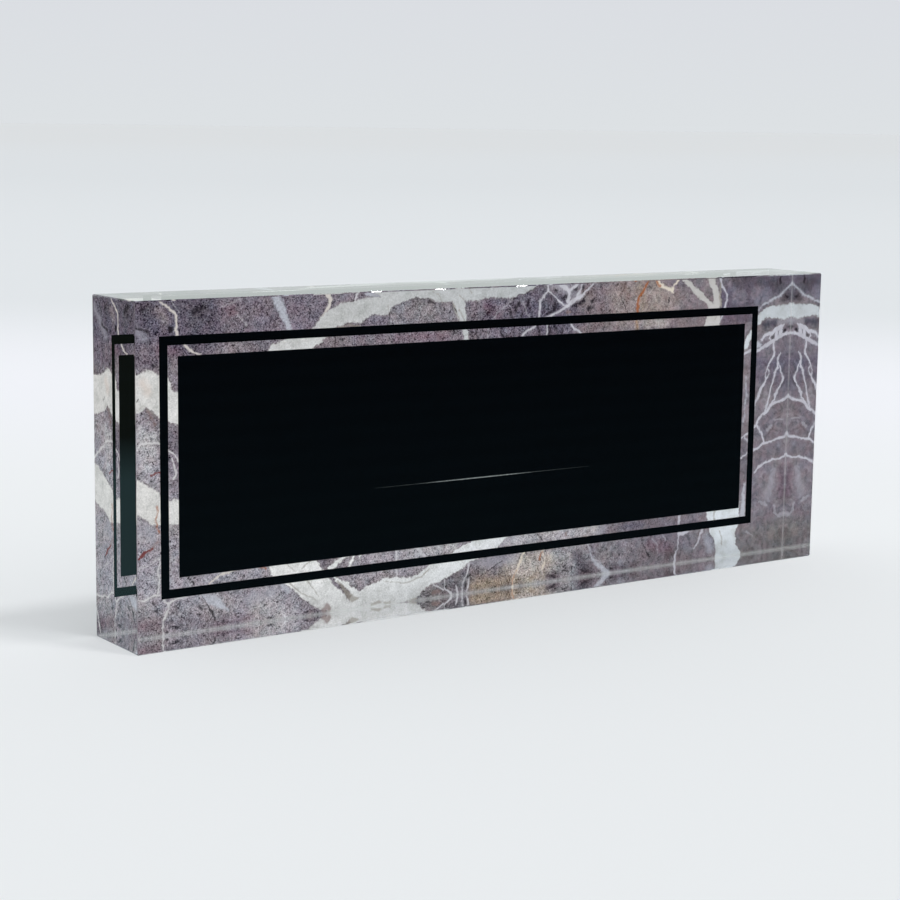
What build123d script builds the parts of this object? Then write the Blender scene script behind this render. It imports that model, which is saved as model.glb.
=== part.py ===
"""Desk name plate: a thick clear acrylic block with a design printed across its back.

The plate stands on its long lower face. +X runs along the plate, +Y from the front face to
the printed back, +Z up. The origin is on the desk, under the middle of the plate.
"""

import os

from build123d import *

# Acrylic block, in millimetres
BLOCK_WIDTH = 200.0
BLOCK_DEPTH = 20.0
BLOCK_HEIGHT = 76.0
EDGE_BEVEL = 0.25

# Layers on the block's back, from the acrylic outwards
INK_THICKNESS = 0.06
FLOOD_THICKNESS = 0.06
ADHESIVE_THICKNESS = 0.05
COVER_THICKNESS = 0.15

# Outlines of the layers behind the print, each measured in from the edge of the layer it lies on
FLOOD_MARGIN = 0.45
COVER_MARGIN = 0.3
COVER_CORNER_RADIUS = 1.5

# Printed design, measured in from the block's own edges, and how far it sits below the middle
LINE_INSET_ENDS = 12.05
LINE_INSET_TOP = 8.75
LINE_STROKE = 2.05
BAND_WIDTH = 2.45
DESIGN_DROP = 0.35

# Divider rule on the name panel: a long rule that swells from its tips to its middle
RULE_LENGTH = 64.0
RULE_MIDDLE_STROKE = 0.26
RULE_TIP_STROKE = 0.08
RULE_ABOVE_PANEL_FOOT = 15.6

# Depth of each layer's back face, with the whole stack centred on the origin
stack_depth = (
    BLOCK_DEPTH + INK_THICKNESS + FLOOD_THICKNESS + ADHESIVE_THICKNESS + COVER_THICKNESS
)
block_back = BLOCK_DEPTH - stack_depth / 2
ink_back = block_back + INK_THICKNESS
flood_back = ink_back + FLOOD_THICKNESS
adhesive_back = flood_back + ADHESIVE_THICKNESS
cover_back = adhesive_back + COVER_THICKNESS

# Outer sizes of the printed fields and layers, each set in from the one around it or under it
line_width = BLOCK_WIDTH - 2 * LINE_INSET_ENDS
line_height = BLOCK_HEIGHT - 2 * LINE_INSET_TOP
band_width = line_width - 2 * LINE_STROKE
band_height = line_height - 2 * LINE_STROKE
panel_width = band_width - 2 * BAND_WIDTH
panel_height = band_height - 2 * BAND_WIDTH
flood_width = BLOCK_WIDTH - 2 * FLOOD_MARGIN
flood_height = BLOCK_HEIGHT - 2 * FLOOD_MARGIN
cover_width = flood_width - 2 * COVER_MARGIN
cover_height = flood_height - 2 * COVER_MARGIN

# Height of the block's middle, and of the printed design's
block_middle = BLOCK_HEIGHT / 2
design_middle = block_middle - DESIGN_DROP


def upright_plane(depth):
    """Plane across the plate at a depth along Y, facing the front, centred on the block."""
    return Plane(origin=(0, depth, block_middle), x_dir=(1, 0, 0), z_dir=(0, -1, 0))


def design_plane():
    """Plane at the back of the ink, facing the front, centred on the printed design."""
    return Plane(origin=(0, ink_back, design_middle), x_dir=(1, 0, 0), z_dir=(0, -1, 0))


def field_ring(outer_width, outer_height, inner_width, inner_height):
    """Rectangular ring, for a printed field that surrounds the next one."""
    Rectangle(outer_width, outer_height)
    Rectangle(inner_width, inner_height, mode=Mode.SUBTRACT)


def rule_outline(mode=Mode.ADD):
    """Swelled rule: blunt tips, widest in the middle, a set height above the panel's foot."""
    tip_x = RULE_LENGTH / 2
    with Locations((0, RULE_ABOVE_PANEL_FOOT - panel_height / 2)):
        Polygon(
            (-tip_x, -RULE_TIP_STROKE / 2),
            (0, -RULE_MIDDLE_STROKE / 2),
            (tip_x, -RULE_TIP_STROKE / 2),
            (tip_x, RULE_TIP_STROKE / 2),
            (0, RULE_MIDDLE_STROKE / 2),
            (-tip_x, RULE_TIP_STROKE / 2),
            align=None,
            mode=mode,
        )


# Clear cast acrylic, sawn from sheet and polished. The edges are bevelled, all but those around
# the back, which stay sharp so that the print runs up to them
with BuildPart() as acrylic_block:
    with BuildSketch(upright_plane(block_back)):
        Rectangle(BLOCK_WIDTH, BLOCK_HEIGHT)
    extrude(amount=BLOCK_DEPTH)
    back_edges = acrylic_block.faces().sort_by(Axis.Y)[-1].edges()
    chamfer([edge for edge in acrylic_block.edges() if edge not in back_edges], length=EDGE_BEVEL)

# Outer marble field, from the frame line out to the block's edges, with its bevelled corners
with BuildPart() as marble_border:
    with BuildSketch(upright_plane(ink_back)) as border_sketch:
        Rectangle(BLOCK_WIDTH, BLOCK_HEIGHT)
        chamfer(border_sketch.vertices(), length=EDGE_BEVEL)
        with Locations((0, -DESIGN_DROP)):
            Rectangle(line_width, line_height, mode=Mode.SUBTRACT)
    extrude(amount=INK_THICKNESS)

# Black frame line
with BuildPart() as frame_line:
    with BuildSketch(design_plane()):
        field_ring(line_width, line_height, band_width, band_height)
    extrude(amount=INK_THICKNESS)

# Narrow marble field between the frame line and the name panel
with BuildPart() as marble_band:
    with BuildSketch(design_plane()):
        field_ring(band_width, band_height, panel_width, panel_height)
    extrude(amount=INK_THICKNESS)

# Black name panel, left open where the rule is printed
with BuildPart() as name_panel:
    with BuildSketch(design_plane()):
        Rectangle(panel_width, panel_height)
        rule_outline(mode=Mode.SUBTRACT)
    extrude(amount=INK_THICKNESS)

# Pale divider rule, which fills its opening in the panel
with BuildPart() as divider_rule:
    with BuildSketch(design_plane()):
        rule_outline()
    extrude(amount=INK_THICKNESS)

# White flood coat behind the colours, which makes the print opaque up to just short of its edge
with BuildPart() as white_flood:
    with BuildSketch(upright_plane(flood_back)):
        Rectangle(flood_width, flood_height)
    extrude(amount=FLOOD_THICKNESS)

# Pressure-sensitive adhesive of the back cover
with BuildPart() as cover_adhesive:
    with BuildSketch(upright_plane(adhesive_back)):
        RectangleRounded(cover_width, cover_height, COVER_CORNER_RADIUS)
    extrude(amount=ADHESIVE_THICKNESS)

# Vinyl back cover, which keeps the print from scratches
with BuildPart() as back_cover:
    with BuildSketch(upright_plane(cover_back)):
        RectangleRounded(cover_width, cover_height, COVER_CORNER_RADIUS)
    extrude(amount=COVER_THICKNESS)

pieces = {
    "acrylic_block": acrylic_block,
    "marble_border": marble_border,
    "frame_line": frame_line,
    "marble_band": marble_band,
    "name_panel": name_panel,
    "divider_rule": divider_rule,
    "white_flood": white_flood,
    "cover_adhesive": cover_adhesive,
    "back_cover": back_cover,
}
os.makedirs("parts", exist_ok=True)
for piece_name, piece in pieces.items():
    piece.part.label = piece_name
    export_step(piece.part, f"parts/{piece_name}.step")
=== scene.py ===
import math

import bmesh
import bpy
from mathutils import Matrix, Vector


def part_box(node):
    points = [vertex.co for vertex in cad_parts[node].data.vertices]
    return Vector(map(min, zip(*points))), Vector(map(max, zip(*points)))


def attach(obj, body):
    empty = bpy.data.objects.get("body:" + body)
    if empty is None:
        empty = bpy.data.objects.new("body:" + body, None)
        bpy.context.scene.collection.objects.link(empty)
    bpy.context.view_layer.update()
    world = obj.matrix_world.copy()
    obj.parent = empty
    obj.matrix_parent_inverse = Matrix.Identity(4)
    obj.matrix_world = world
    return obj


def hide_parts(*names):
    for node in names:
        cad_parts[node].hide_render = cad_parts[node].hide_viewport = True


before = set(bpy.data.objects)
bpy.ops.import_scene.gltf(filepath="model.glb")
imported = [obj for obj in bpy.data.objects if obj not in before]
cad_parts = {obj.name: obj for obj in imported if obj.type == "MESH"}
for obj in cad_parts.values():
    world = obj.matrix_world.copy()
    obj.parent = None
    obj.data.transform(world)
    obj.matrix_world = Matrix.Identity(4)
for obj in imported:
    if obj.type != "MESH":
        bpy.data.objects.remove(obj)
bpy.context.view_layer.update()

MM = 0.001
PER_METRE = 1000.0

# Camera, set up as the photograph was taken
CAMERA_AZIMUTH = math.radians(-35.129)
CAMERA_ELEVATION = math.radians(8.967)
CAMERA_ROLL = math.radians(0.799)
CAMERA_DISTANCE = 499.03 * MM
CAMERA_SLIDE_RIGHT = -9.854 * MM
CAMERA_SLIDE_UP = -2.62 * MM
CAMERA_LENS = 82.26
CAMERA_CLIP_START = 0.01

# Acrylic block
EDGE_BEVEL = 0.25 * MM
SINK_INTO_INK = 0.02 * MM

# Print, in millimetres: its half width and half height, its paler rim of painted backlight, where its veins
# are measured from and between which places they turn from cream to bluish, a distance far beyond it, where
# the rule is brightest, and how far apart the swaths of the print head are
PRINT_HALF_WIDTH = 100.0
PRINT_HALF_HEIGHT = 38.0
RIM_WIDTH = 0.5
RIM_SOFTNESS = 0.45
RIM_NARROWER_AT_ENDS = 0.4
RIM_STRENGTH = 0.33
VEIN_OFFSET = (0.2, 0, -0.2)
CREAM_UP_TO = -90.0
BLUISH_FROM = 60.0
FAR_BEYOND = 1000.0
RULE_BRIGHTEST = -2.0
SWATH_SPACING = 5.0

# Length of one wave of Blender's wave texture at a scale of 1
WAVE_LENGTH = 2 * math.pi / 20

# Floor, and its tones along the view, which are painted light and shade. Between its two distances, in
# metres, each tone takes over from the one before it
FLOOR_REACH = 60.0
FLOOR_DROP = 0.1 * MM
FLOOR_NEAREST_TONE = "EAECED"
FLOOR_PAINTED_TONES = (
    (-0.1, 0.1, "EEF0F1"),
    (0.1, 0.4, "F1F2F6"),
    (0.4, 0.85, "E2E5E7"),
    (0.85, 4.0, "DDE0E2"),
    (4.0, 12.0, "DCDEDF"),
)

# Suns: name, energy, spread in degrees, direction towards it, whether it casts a shadow
SUNS = (
    ("soft_front", 1.15, 120, (0.1, -0.75, 0.65), False),
    ("shadow_key", 0.62, 10, (0.245, -0.396, 0.885), True),
)

# Strip lamps, and where along the top front edge they glint, in millimetres
GLINTS = (-39.7, -22.2, 1.1)
STRIP_WIDTH = 9 * MM
STRIP_HEIGHT = 60 * MM
STRIP_DISTANCE = 1.2
STRIP_ENERGY = 0.04

# Veins of the printed marble, each a run of points (x, z, width) in millimetres on the plate
WARM_VEINS = [
    # top, right of the middle
    [(61, 75.2, 1), (62.9, 73.8, 1.2), (64.6, 72.8, 1.3), (66, 71.8, 1.5), (67, 70.9, 1.8),
     (68.6, 69.7, 1.5), (70.2, 68.6, 1.3), (71.2, 67.6, 1.5), (71.8, 66, 2)],
    [(70.7, 76, 1.9), (71.7, 73.6, 2.1), (72.7, 71.6, 2.1), (73.4, 70, 2.3), (73.7, 68.4, 2.5),
     (73, 66.8, 3.4), (72.4, 64.5, 4.8), (71.9, 61.8, 5)],
]
BROAD_VEINS = WARM_VEINS + [
    # top, left of the middle
    [(-57.4, 60.8, 6.4), (-52, 63, 5.6), (-48.6, 64.6, 4), (-45.9, 67.1, 4.2), (-43, 69.2, 4.5),
     (-40, 70, 4.9), (-37, 70.1, 4.9), (-34.2, 71.2, 4.3), (-29.6, 71.3, 3.9)],
    [(-33, 75.2, 1.6), (-29.5, 74.6, 3), (-27.8, 74.8, 6.6), (-25, 75.5, 6.6), (-21, 75.5, 5.5),
     (-16.6, 75.5, 6.2), (-15, 75.5, 7.6), (-11.5, 75.5, 8), (-5.2, 75.5, 8.2), (-3.2, 75.5, 8),
     (-1.5, 75.5, 6.8), (1.3, 75.5, 6.8), (3, 75.5, 7.7), (6.5, 75.5, 7.7), (8.6, 75.5, 6.2),
     (10.4, 75.5, 5.4), (12.6, 75.5, 4), (14, 75.8, 2)],
    [(-8.4, 72, 4), (-8.2, 70, 3.2), (-7.6, 68, 2.5), (-7.1, 66.4, 1.7), (-6.5, 64.5, 1.1),
     (-6.4, 61.8, 1.1)],
    # right end
    [(87.4, 61.8, 1.6), (88.4, 63, 2.5), (90, 64.2, 2.5), (92, 65, 2.5), (94.5, 65, 3.2), (96.8, 64.9, 4.1),
     (98.4, 64.8, 3.9), (101, 65.6, 3.4)],
    [(84.2, 56.2, 1.8), (85.2, 58.2, 1.7), (86.8, 60.6, 1)],
    # foot, left of the middle
    [(-55.4, 14, 10.4), (-50.4, 8.9, 8.9), (-46.8, 5.2, 7.4), (-43.4, 2.7, 6.2), (-40.6, 0, 5.4),
     (-39.5, -1.5, 5)],
    [(-43, 8.4, 0.8), (-41, 6.6, 1), (-39, 5.6, 1.1), (-38, 4.2, 1.7), (-36.2, 2.8, 2.2)],
    [(-36.5, 1.3, 4.6), (-32, 2.4, 6), (-28.5, 3, 6.9), (-24.5, 2.8, 6.2), (-21, 3.1, 5.4),
     (-18.5, 4.3, 4.4), (-16.5, 5.5, 4.6), (-12.7, 6.6, 4.9), (-9, 8, 5), (-5.2, 9.8, 5), (-1, 11, 5.6),
     (2.6, 12.3, 5.2), (5.6, 14.4, 4)],
    [(-44, 10.4, 1.6), (-42, 12, 1.2), (-39, 13, 0.8)],
    [(-39, 10, 0.5), (-38, 11.8, 0.7), (-37.4, 13.4, 0.9)],
    [(-36, 13.4, 0.7), (-36.2, 12, 0.3)],
    # foot, right of the middle
    [(77.8, 13.4, 11.6), (78.4, 9.6, 10.8), (79.1, 5.4, 7.4), (79.3, 2.4, 7.1), (80.2, -0.8, 9.2)],
    # left end
    [(-101, 54, 9), (-93.5, 54.3, 8.1), (-90.5, 55.5, 7.7), (-88.6, 54.6, 8), (-86.4, 52, 6.6),
     (-82.5, 50, 6.8)],
    [(-101, 35.4, 8), (-93.4, 31.7, 7), (-90.3, 29.6, 6.6), (-88.4, 28.2, 6.2), (-85.6, 27.6, 5.2),
     (-82.5, 27.5, 5)],
]
THREADS = [
    # top left
    [(-37.2, 75, 0.6), (-37.5, 72.4, 0.6)],
    # top middle
    [(17.9, 75, 0.6), (18.1, 72.9, 0.6), (17, 71.8, 0.5), (15.8, 70.6, 0.55), (15.6, 69, 0.6),
     (15.6, 66, 0.6)],
    [(18.1, 72.9, 0.4), (19.3, 72.1, 0.35), (21, 71.2, 0.35), (22.4, 70, 0.5), (23.4, 69.4, 0.5)],
    [(17, 66.2, 0.5), (19.3, 66.8, 0.5), (21.8, 68, 0.6), (23.6, 69.1, 0.9), (26, 70.2, 1.2), (28, 71, 1.1),
     (29.5, 71.9, 0.7), (31, 73, 0.55), (33, 75, 0.55)],
    [(29.2, 75, 0.5), (28.2, 73.2, 0.5), (27.4, 71.6, 0.7)],
    [(24.4, 70.4, 1.1), (25, 72, 0.8), (24.9, 73, 1.2), (23.4, 73.7, 1.2), (21.4, 74.6, 0.8)],
    [(25.2, 73.2, 0.9), (26.4, 73.9, 0.8), (27.6, 75, 0.9)],
    [(18.3, 65, 0.4), (17.9, 63, 0.45), (17.6, 61.8, 0.4)],
    [(25.2, 65, 0.4), (25.8, 64.1, 0.5), (26.6, 63.3, 0.6), (28.4, 62, 0.6)],
    [(10.4, 62.6, 0.5), (11.6, 63.3, 0.5), (13, 64, 0.6), (14.4, 64.6, 0.4)],
    # top right
    [(74.2, 75, 0.55), (75.1, 72.4, 0.6), (76.1, 71.2, 0.55), (77, 70.1, 0.6), (76.7, 68.4, 0.55),
     (76.4, 66, 0.55), (75.3, 64.2, 0.6), (74.2, 62.6, 0.6)],
    # right end, the upper net
    [(88, 54.7, 1), (91, 55.8, 1), (92.8, 56.6, 1), (94, 57.2, 1.1), (95.8, 58, 1.1), (97.4, 58.4, 0.9),
     (99, 58.9, 0.8), (101, 59.4, 0.8)],
    [(89.8, 57.8, 0.8), (91, 59, 0.8), (92.4, 59.4, 0.8), (93.4, 59.3, 0.9), (95, 60, 1.2),
     (96.6, 60.9, 1.2), (97.6, 61.4, 0.5)],
    [(96.8, 60.8, 1), (96.6, 59.5, 1.1), (96.3, 58.3, 1)],
    [(93.3, 57.2, 0.5), (92.7, 58.1, 0.4), (93.2, 59.2, 0.6)],
    [(94.8, 57.6, 1), (95.4, 59.8, 0.8)],
    [(83.6, 54.2, 0.7), (86.4, 54.9, 0.8)],
    # right end, the hanging threads
    [(94.1, 57, 0.8), (94.2, 55.4, 0.75), (94.7, 54, 0.75), (94.5, 53.2, 0.7), (93.6, 52.2, 0.65),
     (92.8, 51, 0.6), (92.4, 50, 0.55), (93, 49, 0.45), (93, 48.2, 0.45), (91.9, 46.9, 0.7),
     (90.9, 45.6, 0.8), (90, 44, 1), (89, 42, 0.9), (88, 40, 0.8)],
    [(92.2, 49.7, 0.4), (91.6, 48.6, 0.5), (91.5, 47.6, 0.45), (91.9, 46.8, 0.6)],
    [(97, 53.8, 0.4), (96.3, 52.6, 0.75), (96, 51.2, 0.75), (95.7, 50, 0.65), (95.2, 48.6, 0.6),
     (94.6, 46.8, 0.55), (94, 45, 0.55), (93.4, 43, 0.55), (92.9, 41, 0.65), (92.2, 38.4, 0.75)],
    [(96.3, 51.2, 0.55), (97, 49.5, 0.5), (97.5, 47.8, 0.5), (98, 46.8, 0.6), (97.4, 45.2, 0.5),
     (96.2, 43.5, 0.55), (95.4, 42.4, 0.8), (95.2, 41.2, 0.6), (94, 39.8, 0.5)],
    [(87.6, 34.1, 0.7), (89, 34.9, 0.8), (89.7, 36.1, 0.7), (91.1, 37.2, 0.8), (92.7, 38.2, 0.9),
     (93.8, 39.6, 0.8), (96, 40.6, 0.7), (98.6, 40.9, 0.7), (101, 42.4, 0.9)],
    [(89.1, 34.6, 0.6), (90.2, 33.1, 0.65), (91.1, 31.7, 0.6), (91.7, 29.8, 0.6)],
    [(87.6, 28, 1), (89.9, 28.5, 0.7), (91.1, 29.6, 0.7), (93, 29.7, 0.6), (96.1, 30.4, 0.6),
     (99.1, 30.8, 0.6), (101, 32.8, 1)],
    [(88.8, 22, 0.6), (90.2, 23.3, 0.9), (92.7, 24.2, 0.6), (94.9, 24.7, 0.7), (97.7, 25, 0.6),
     (99.4, 25.6, 0.6), (101, 26.4, 0.7)],
    [(83.4, 31.5, 0.55), (84.9, 32.1, 0.55), (86.6, 32.9, 0.6)],
    [(84.6, 32, 0.4), (86.2, 30.2, 0.5)],
    [(83.6, 26.3, 0.55), (86.6, 27.3, 0.6)],
    # foot, from the left
    [(-100.8, 8.4, 0.5), (-99, 4.6, 0.5), (-97.2, 0.6, 0.5)],
    [(-101, 9.4, 0.4), (-93.6, 8.8, 0.4), (-92, 8.5, 0.4), (-90.1, 9, 0.4), (-88.7, 9.3, 0.5),
     (-87.8, 9.1, 0.4), (-87, 7.9, 0.5), (-86.1, 7.1, 0.6), (-85.8, 5.9, 0.5), (-86.7, 4.5, 0.4),
     (-87.3, 3.4, 0.4), (-87.6, 1.5, 0.4), (-87.5, -1, 0.4)],
    [(-88.7, 9.4, 0.4), (-88.6, 11.2, 0.4), (-88.4, 12.7, 0.4), (-88.4, 15.2, 0.35), (-88, 17.4, 0.25)],
    [(-85.9, 7.2, 0.5), (-83.9, 7.9, 0.4), (-80.8, 8.4, 0.4)],
    [(-25.8, 13, 0.7), (-25.6, 10, 0.6), (-25.9, 8.4, 0.6), (-25.7, 6.2, 0.5)],
    [(-20.3, 13, 0.7), (-18.8, 11.7, 0.7), (-17.4, 10.2, 0.7)],
    [(-14.9, 3.2, 0.4), (-12.7, 2.1, 0.4), (-11.9, 1.4, 0.3)],
    [(-11.6, 4.5, 0.3), (-11.5, 1.6, 0.4), (-9.9, 0.6, 0.7), (-9.4, -0.6, 0.6)],
    [(-8.2, 2.2, 0.3), (-7.9, 0.6, 0.5), (-8, -1, 0.5)],
    [(-6.4, -0.6, 0.4), (-6.5, 1.6, 0.35), (-5.9, 3.7, 0.45), (-4.9, 5.9, 0.5), (-4.4, 7.2, 0.8)],
    [(-4.6, 3.8, 0.4), (-4.5, 2, 0.35), (-4.8, 0.2, 0.4)],
    [(62.8, 13, 0.7), (62.7, 10, 0.7), (62.7, 7.4, 0.6), (62.4, 5.2, 0.4), (62.6, 3.7, 0.35),
     (61.7, 2.1, 0.5), (61.4, 0.2, 0.6), (61.2, -1, 0.8)],
    [(62.8, 7.6, 1), (64.4, 7.7, 1), (66, 8.2, 0.6)],
    [(71.2, 8.4, 0.8), (70.1, 5.9, 0.7), (68.9, 4.3, 0.5), (67.9, 3.2, 0.4)],
    # left end
    [(-101, 40, 0.6), (-93.3, 42.4, 0.5), (-92.1, 43, 0.5), (-90.6, 43.5, 0.55), (-89.1, 43.4, 0.55),
     (-87.4, 43.1, 0.5), (-85.6, 41.2, 0.45), (-84.6, 40.9, 0.4), (-83.8, 40, 0.4), (-82.8, 38.6, 0.4)],
    [(-85, 39.6, 0.3), (-84.4, 38, 0.5), (-84, 36.4, 0.6), (-84.5, 35, 0.4)],
]
CREAM_THREADS = [
    [(-88.2, 75, 0.4), (-85.4, 73.1, 0.5), (-84, 71.7, 0.55), (-83.6, 70.2, 0.6), (-83.3, 68.7, 0.65),
     (-83.4, 66.6, 0.6), (-81.7, 64.6, 0.5), (-79.8, 62.9, 0.6), (-77.6, 62.2, 0.5)],
    [(-45.3, 75, 0.9), (-44.4, 73.4, 0.9), (-44.5, 72.4, 0.8), (-45, 71.5, 0.8), (-45.8, 69.8, 0.7),
     (-46.8, 68.3, 0.9)],
    [(-75.9, 10.4, 0.5), (-73.9, 11.5, 0.5), (-72.9, 12.3, 0.6), (-71.1, 12.7, 0.6), (-69, 12.9, 0.5)],
]
FAINT_THREADS = [
    [(-84.8, 74.6, 0.3), (-83, 72, 0.3)], [(-67, 74.4, 0.4), (-70.1, 73.2, 0.35), (-72.4, 72.5, 0.3)],
    [(-68.4, 70.4, 0.4), (-66, 68, 0.4)],
    [(7.3, 71.4, 0.5), (5.6, 69.8, 0.45), (3.4, 68.7, 0.45), (1.6, 66.9, 0.5)],
    [(9, 71.2, 0.2), (11, 69.6, 0.3), (12.6, 67, 0.4)], [(0.2, 65, 0.5), (0.1, 61.8, 0.5)],
    [(24.2, 68.6, 0.6), (25.2, 66.6, 0.4)], [(93.2, 33, 1.2), (94.6, 34.2, 0.8)],
    [(95.8, 35.6, 0.4), (98.6, 35.8, 0.5)], [(-93.6, 46.6, 0.4), (-90.6, 48.2, 0.5)],
    [(-91, 45.6, 0.5), (-88.8, 44.5, 0.4), (-87.4, 45.4, 0.4)],
    [(-93.6, 15.4, 0.8), (-90, 16.8, 0.6), (-87.6, 18, 0.5)], [(22, 11, 0.6), (23.8, 12.5, 0.7)],
    [(53.6, 7.4, 0.5), (55.4, 5.6, 0.4), (56, 3.4, 0.3)], [(57, 8, 0.4), (58.4, 6.4, 0.5)],
    [(64.4, 7.6, 0.7), (67.6, 8.2, 0.5)], [(86.8, 5.8, 0.7), (89, 4.8, 0.4)],
    [(91.2, 13.7, 0.9), (92.4, 13.1, 1.2), (93.6, 12.5, 0.9)],
    [(96.5, 12.4, 1), (96.9, 10.4, 1.1), (98, 9.4, 1.1), (101, 9.2, 1.2)],
]
VEILS = [
    [(-58.9, 75.4, 2.6), (-57.8, 72.6, 2.2), (-56.5, 70, 1.9), (-55.1, 66.6, 1.5)],
    [(85, 9.6, 2), (85, 14, 1.6), (85.3, 19, 0.8)],
    [(84.4, 36, 0.5), (84.8, 42, 0.4), (84.6, 48, 0.4)],
    [(-34.4, 74.2, 1.2), (-28.4, 73.6, 1.8)],
    [(-77.6, 8.2, 1.2), (-75.6, 6.8, 2.2), (-73.8, 5.8, 2.2), (-71.4, 3.8, 1)],
    [(-57.2, 8.6, 1.6), (-55.6, 6.2, 1.2)],
    [(32.5, 8.4, 0.6), (33.4, 5.9, 0.7), (34.3, 3.7, 1), (35.9, 2.4, 1.3), (37.2, 1.1, 1.6),
     (38.6, -0.4, 2.8)],
    [(88, 65.6, 0.6), (90.2, 67, 0.65), (92.2, 67.7, 0.7), (94.9, 68.6, 0.7), (96.6, 69.9, 0.7),
     (98.3, 71.1, 0.7), (101, 72.8, 0.8)],
    [(88, 56.4, 2), (89.4, 56.5, 1.4)],
    [(76.3, 7.4, 0.6), (76.3, 0, 0.7)],
]
SOFT_VEILS = [
    [(-98.4, 73, 1.2), (-95.6, 70.4, 1.6), (-93.4, 68.6, 1.8), (-91.4, 66.2, 1.2)],
    [(-4.4, 7.4, 1), (1, 6.9, 2.2), (8.4, 6.9, 2)], [(9.4, 7.4, 0.8), (10, 7, 0.8)],
    [(71.8, 5.6, 1.4), (73.6, 3.2, 1.6)], [(96.2, 62.2, 1.2), (101, 62.6, 1.8)],
    [(-92, 24, 3), (-89.6, 22.6, 2)], [(91, 58.3, 0.8), (92.4, 58.2, 0.6)],
    [(38, 12.4, 1.4), (35.6, 10.8, 1.4)], [(5.4, 10.8, 1.4), (8.4, 12.6, 1.4)],
    [(-66, 5.4, 2), (-60, 6.6, 2.2)], [(96, 22, 1), (95, 18, 2.4), (93.6, 14.6, 2)],
    [(84.8, 10.2, 1.6), (85, 12.8, 1.6)],
    [(19.6, 74.6, 1.6), (22.6, 73.6, 1.6), (25.4, 72, 1.8), (28, 71.2, 1.2)],
    [(23, 75, 1.2), (28.6, 74.6, 1.6)],
]
BLUSHES = [
    [(-91.8, 57, 1.2), (-90.6, 55, 1.4)],
]
STREAKS_IN_WHITE = [
    [(-50.4, 8.4, 0.35), (-48.6, 5.9, 0.3), (-47.2, 4.2, 0.2)],
    [(-92.6, 51, 0.2), (-91.4, 51.8, 0.3), (-90, 50.4, 0.3), (-88.8, 49.2, 0.2)],
    [(-55, 8, 0.5), (-53.6, 6.6, 0.4), (-51, 5, 0.3), (-48, 3.4, 0.25)],
    [(-29.3, 5.6, 0.15), (-26.8, 5.1, 0.15), (-23.7, 4.5, 0.2), (-20.6, 4.8, 0.3), (-18.4, 5.6, 0.45),
     (-16.5, 7, 0.4)],
    [(77.2, 7.3, 0.3), (77.6, 5.4, 0.35), (78.1, 3.5, 0.3)], [(75.1, 13, 0.5), (75.1, 10, 0.5)],
    [(-49.6, 13, 0.3), (-51.6, 11, 0.25)], [(-55.8, 13, 0.3), (-53.7, 10.7, 0.25)],
    [(-42, 7.3, 0.4), (-40.4, 5.3, 0.8), (-39.1, 3.6, 1.2), (-37.9, 2.2, 1.4), (-36.5, 2.3, 0.5)],
    [(-32.6, 0.4, 0.6), (-30.8, 0.7, 0.9), (-30, 0.4, 0.5)], [(-29, 0.3, 0.7), (-27.4, 0.3, 0.5)],
    [(-21.4, 0.3, 0.6), (-20, 0.3, 0.6)], [(-14.6, 73.4, 0.25), (-13.2, 71.6, 0.3)],
    [(-16.4, 74.6, 0.2), (-14.8, 73.2, 0.2)], [(-5.6, 74.4, 0.2), (-4.6, 73.2, 0.2)],
    [(-8.2, 73, 0.2), (-6.8, 71.8, 0.25)], [(-42, 66.8, 0.5), (-36.2, 67, 0.4)],
    [(73.6, 64.9, 0.3), (73.2, 63.8, 0.3)], [(-10, 70.8, 0.3), (-9.3, 69.2, 0.5), (-8.2, 67.4, 0.4)],
    [(-8.4, 69.4, 0.3), (-7.6, 68.2, 0.45), (-7, 67, 0.3)], [(-28.5, 69.4, 0.15), (-28.4, 71.6, 0.2)],
    [(74.6, 73, 0.4), (74.5, 69.8, 0.8), (75, 67, 0.6)],
]
POCKETS = [
    [(-45.8, 0.4, 1.4), (-45.2, 1.4, 1.4), (-44.4, 0.4, 1.2)], [(-14.6, 1.1, 1.2), (-13.4, 1.2, 1)],
    [(24, 67.9, 0.8), (25, 67.6, 0.7)], [(-92.6, 18.4, 0.3), (-90.4, 19.8, 0.5), (-88.2, 21.6, 0.4)],
    [(25.3, 11, 0.6), (25.4, 11.6, 0.4)], [(-90.6, 50.6, 0.5), (-89.6, 48.8, 0.6), (-88.8, 47.4, 0.3)],
]
APRICOT_THREADS = [
    [(52.8, 74.9, 0.9), (53.8, 73.5, 1), (55.2, 72.8, 1), (56.6, 72.3, 0.9), (58, 71.9, 1.1),
     (58.2, 72.6, 0.7)],
    [(58.6, 73.2, 0.4), (60.4, 74.6, 0.6)],
    [(12.6, 8.4, 0.6), (11.5, 6.7, 0.5), (10.8, 5.1, 0.85), (10.1, 3.7, 0.75), (9.1, 2.1, 0.45),
     (8.6, -0.6, 0.8)],
    [(18.8, 6, 0.4), (17.8, 3.2, 0.35)],
    [(17.9, 8, 0.3), (18.3, 6.6, 0.2)],
]
RUST_THREADS = [
    [(50.6, 75.2, 0.6), (48.4, 72.1, 0.6), (47.2, 70.6, 0.65), (46.85, 68.8, 0.95), (46.7, 66.2, 0.6)],
    [(17.8, 7.7, 0.3), (17.1, 5.9, 0.35)],
    [(-62.8, 12.8, 0.4), (-61.4, 12.3, 0.4)],
    [(52.7, 74.6, 0.5), (53.5, 73.3, 0.45), (54.2, 73, 0.35)],
    [(10, 3.6, 0.25), (9.2, 2.2, 0.3), (8.6, 0.2, 0.3)],
    [(-88.7, 29.4, 0.15), (-88.5, 28.3, 0.22), (-89, 26.4, 0.22), (-88.6, 24.7, 0.26), (-88.1, 23.4, 0.2)],
]
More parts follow.
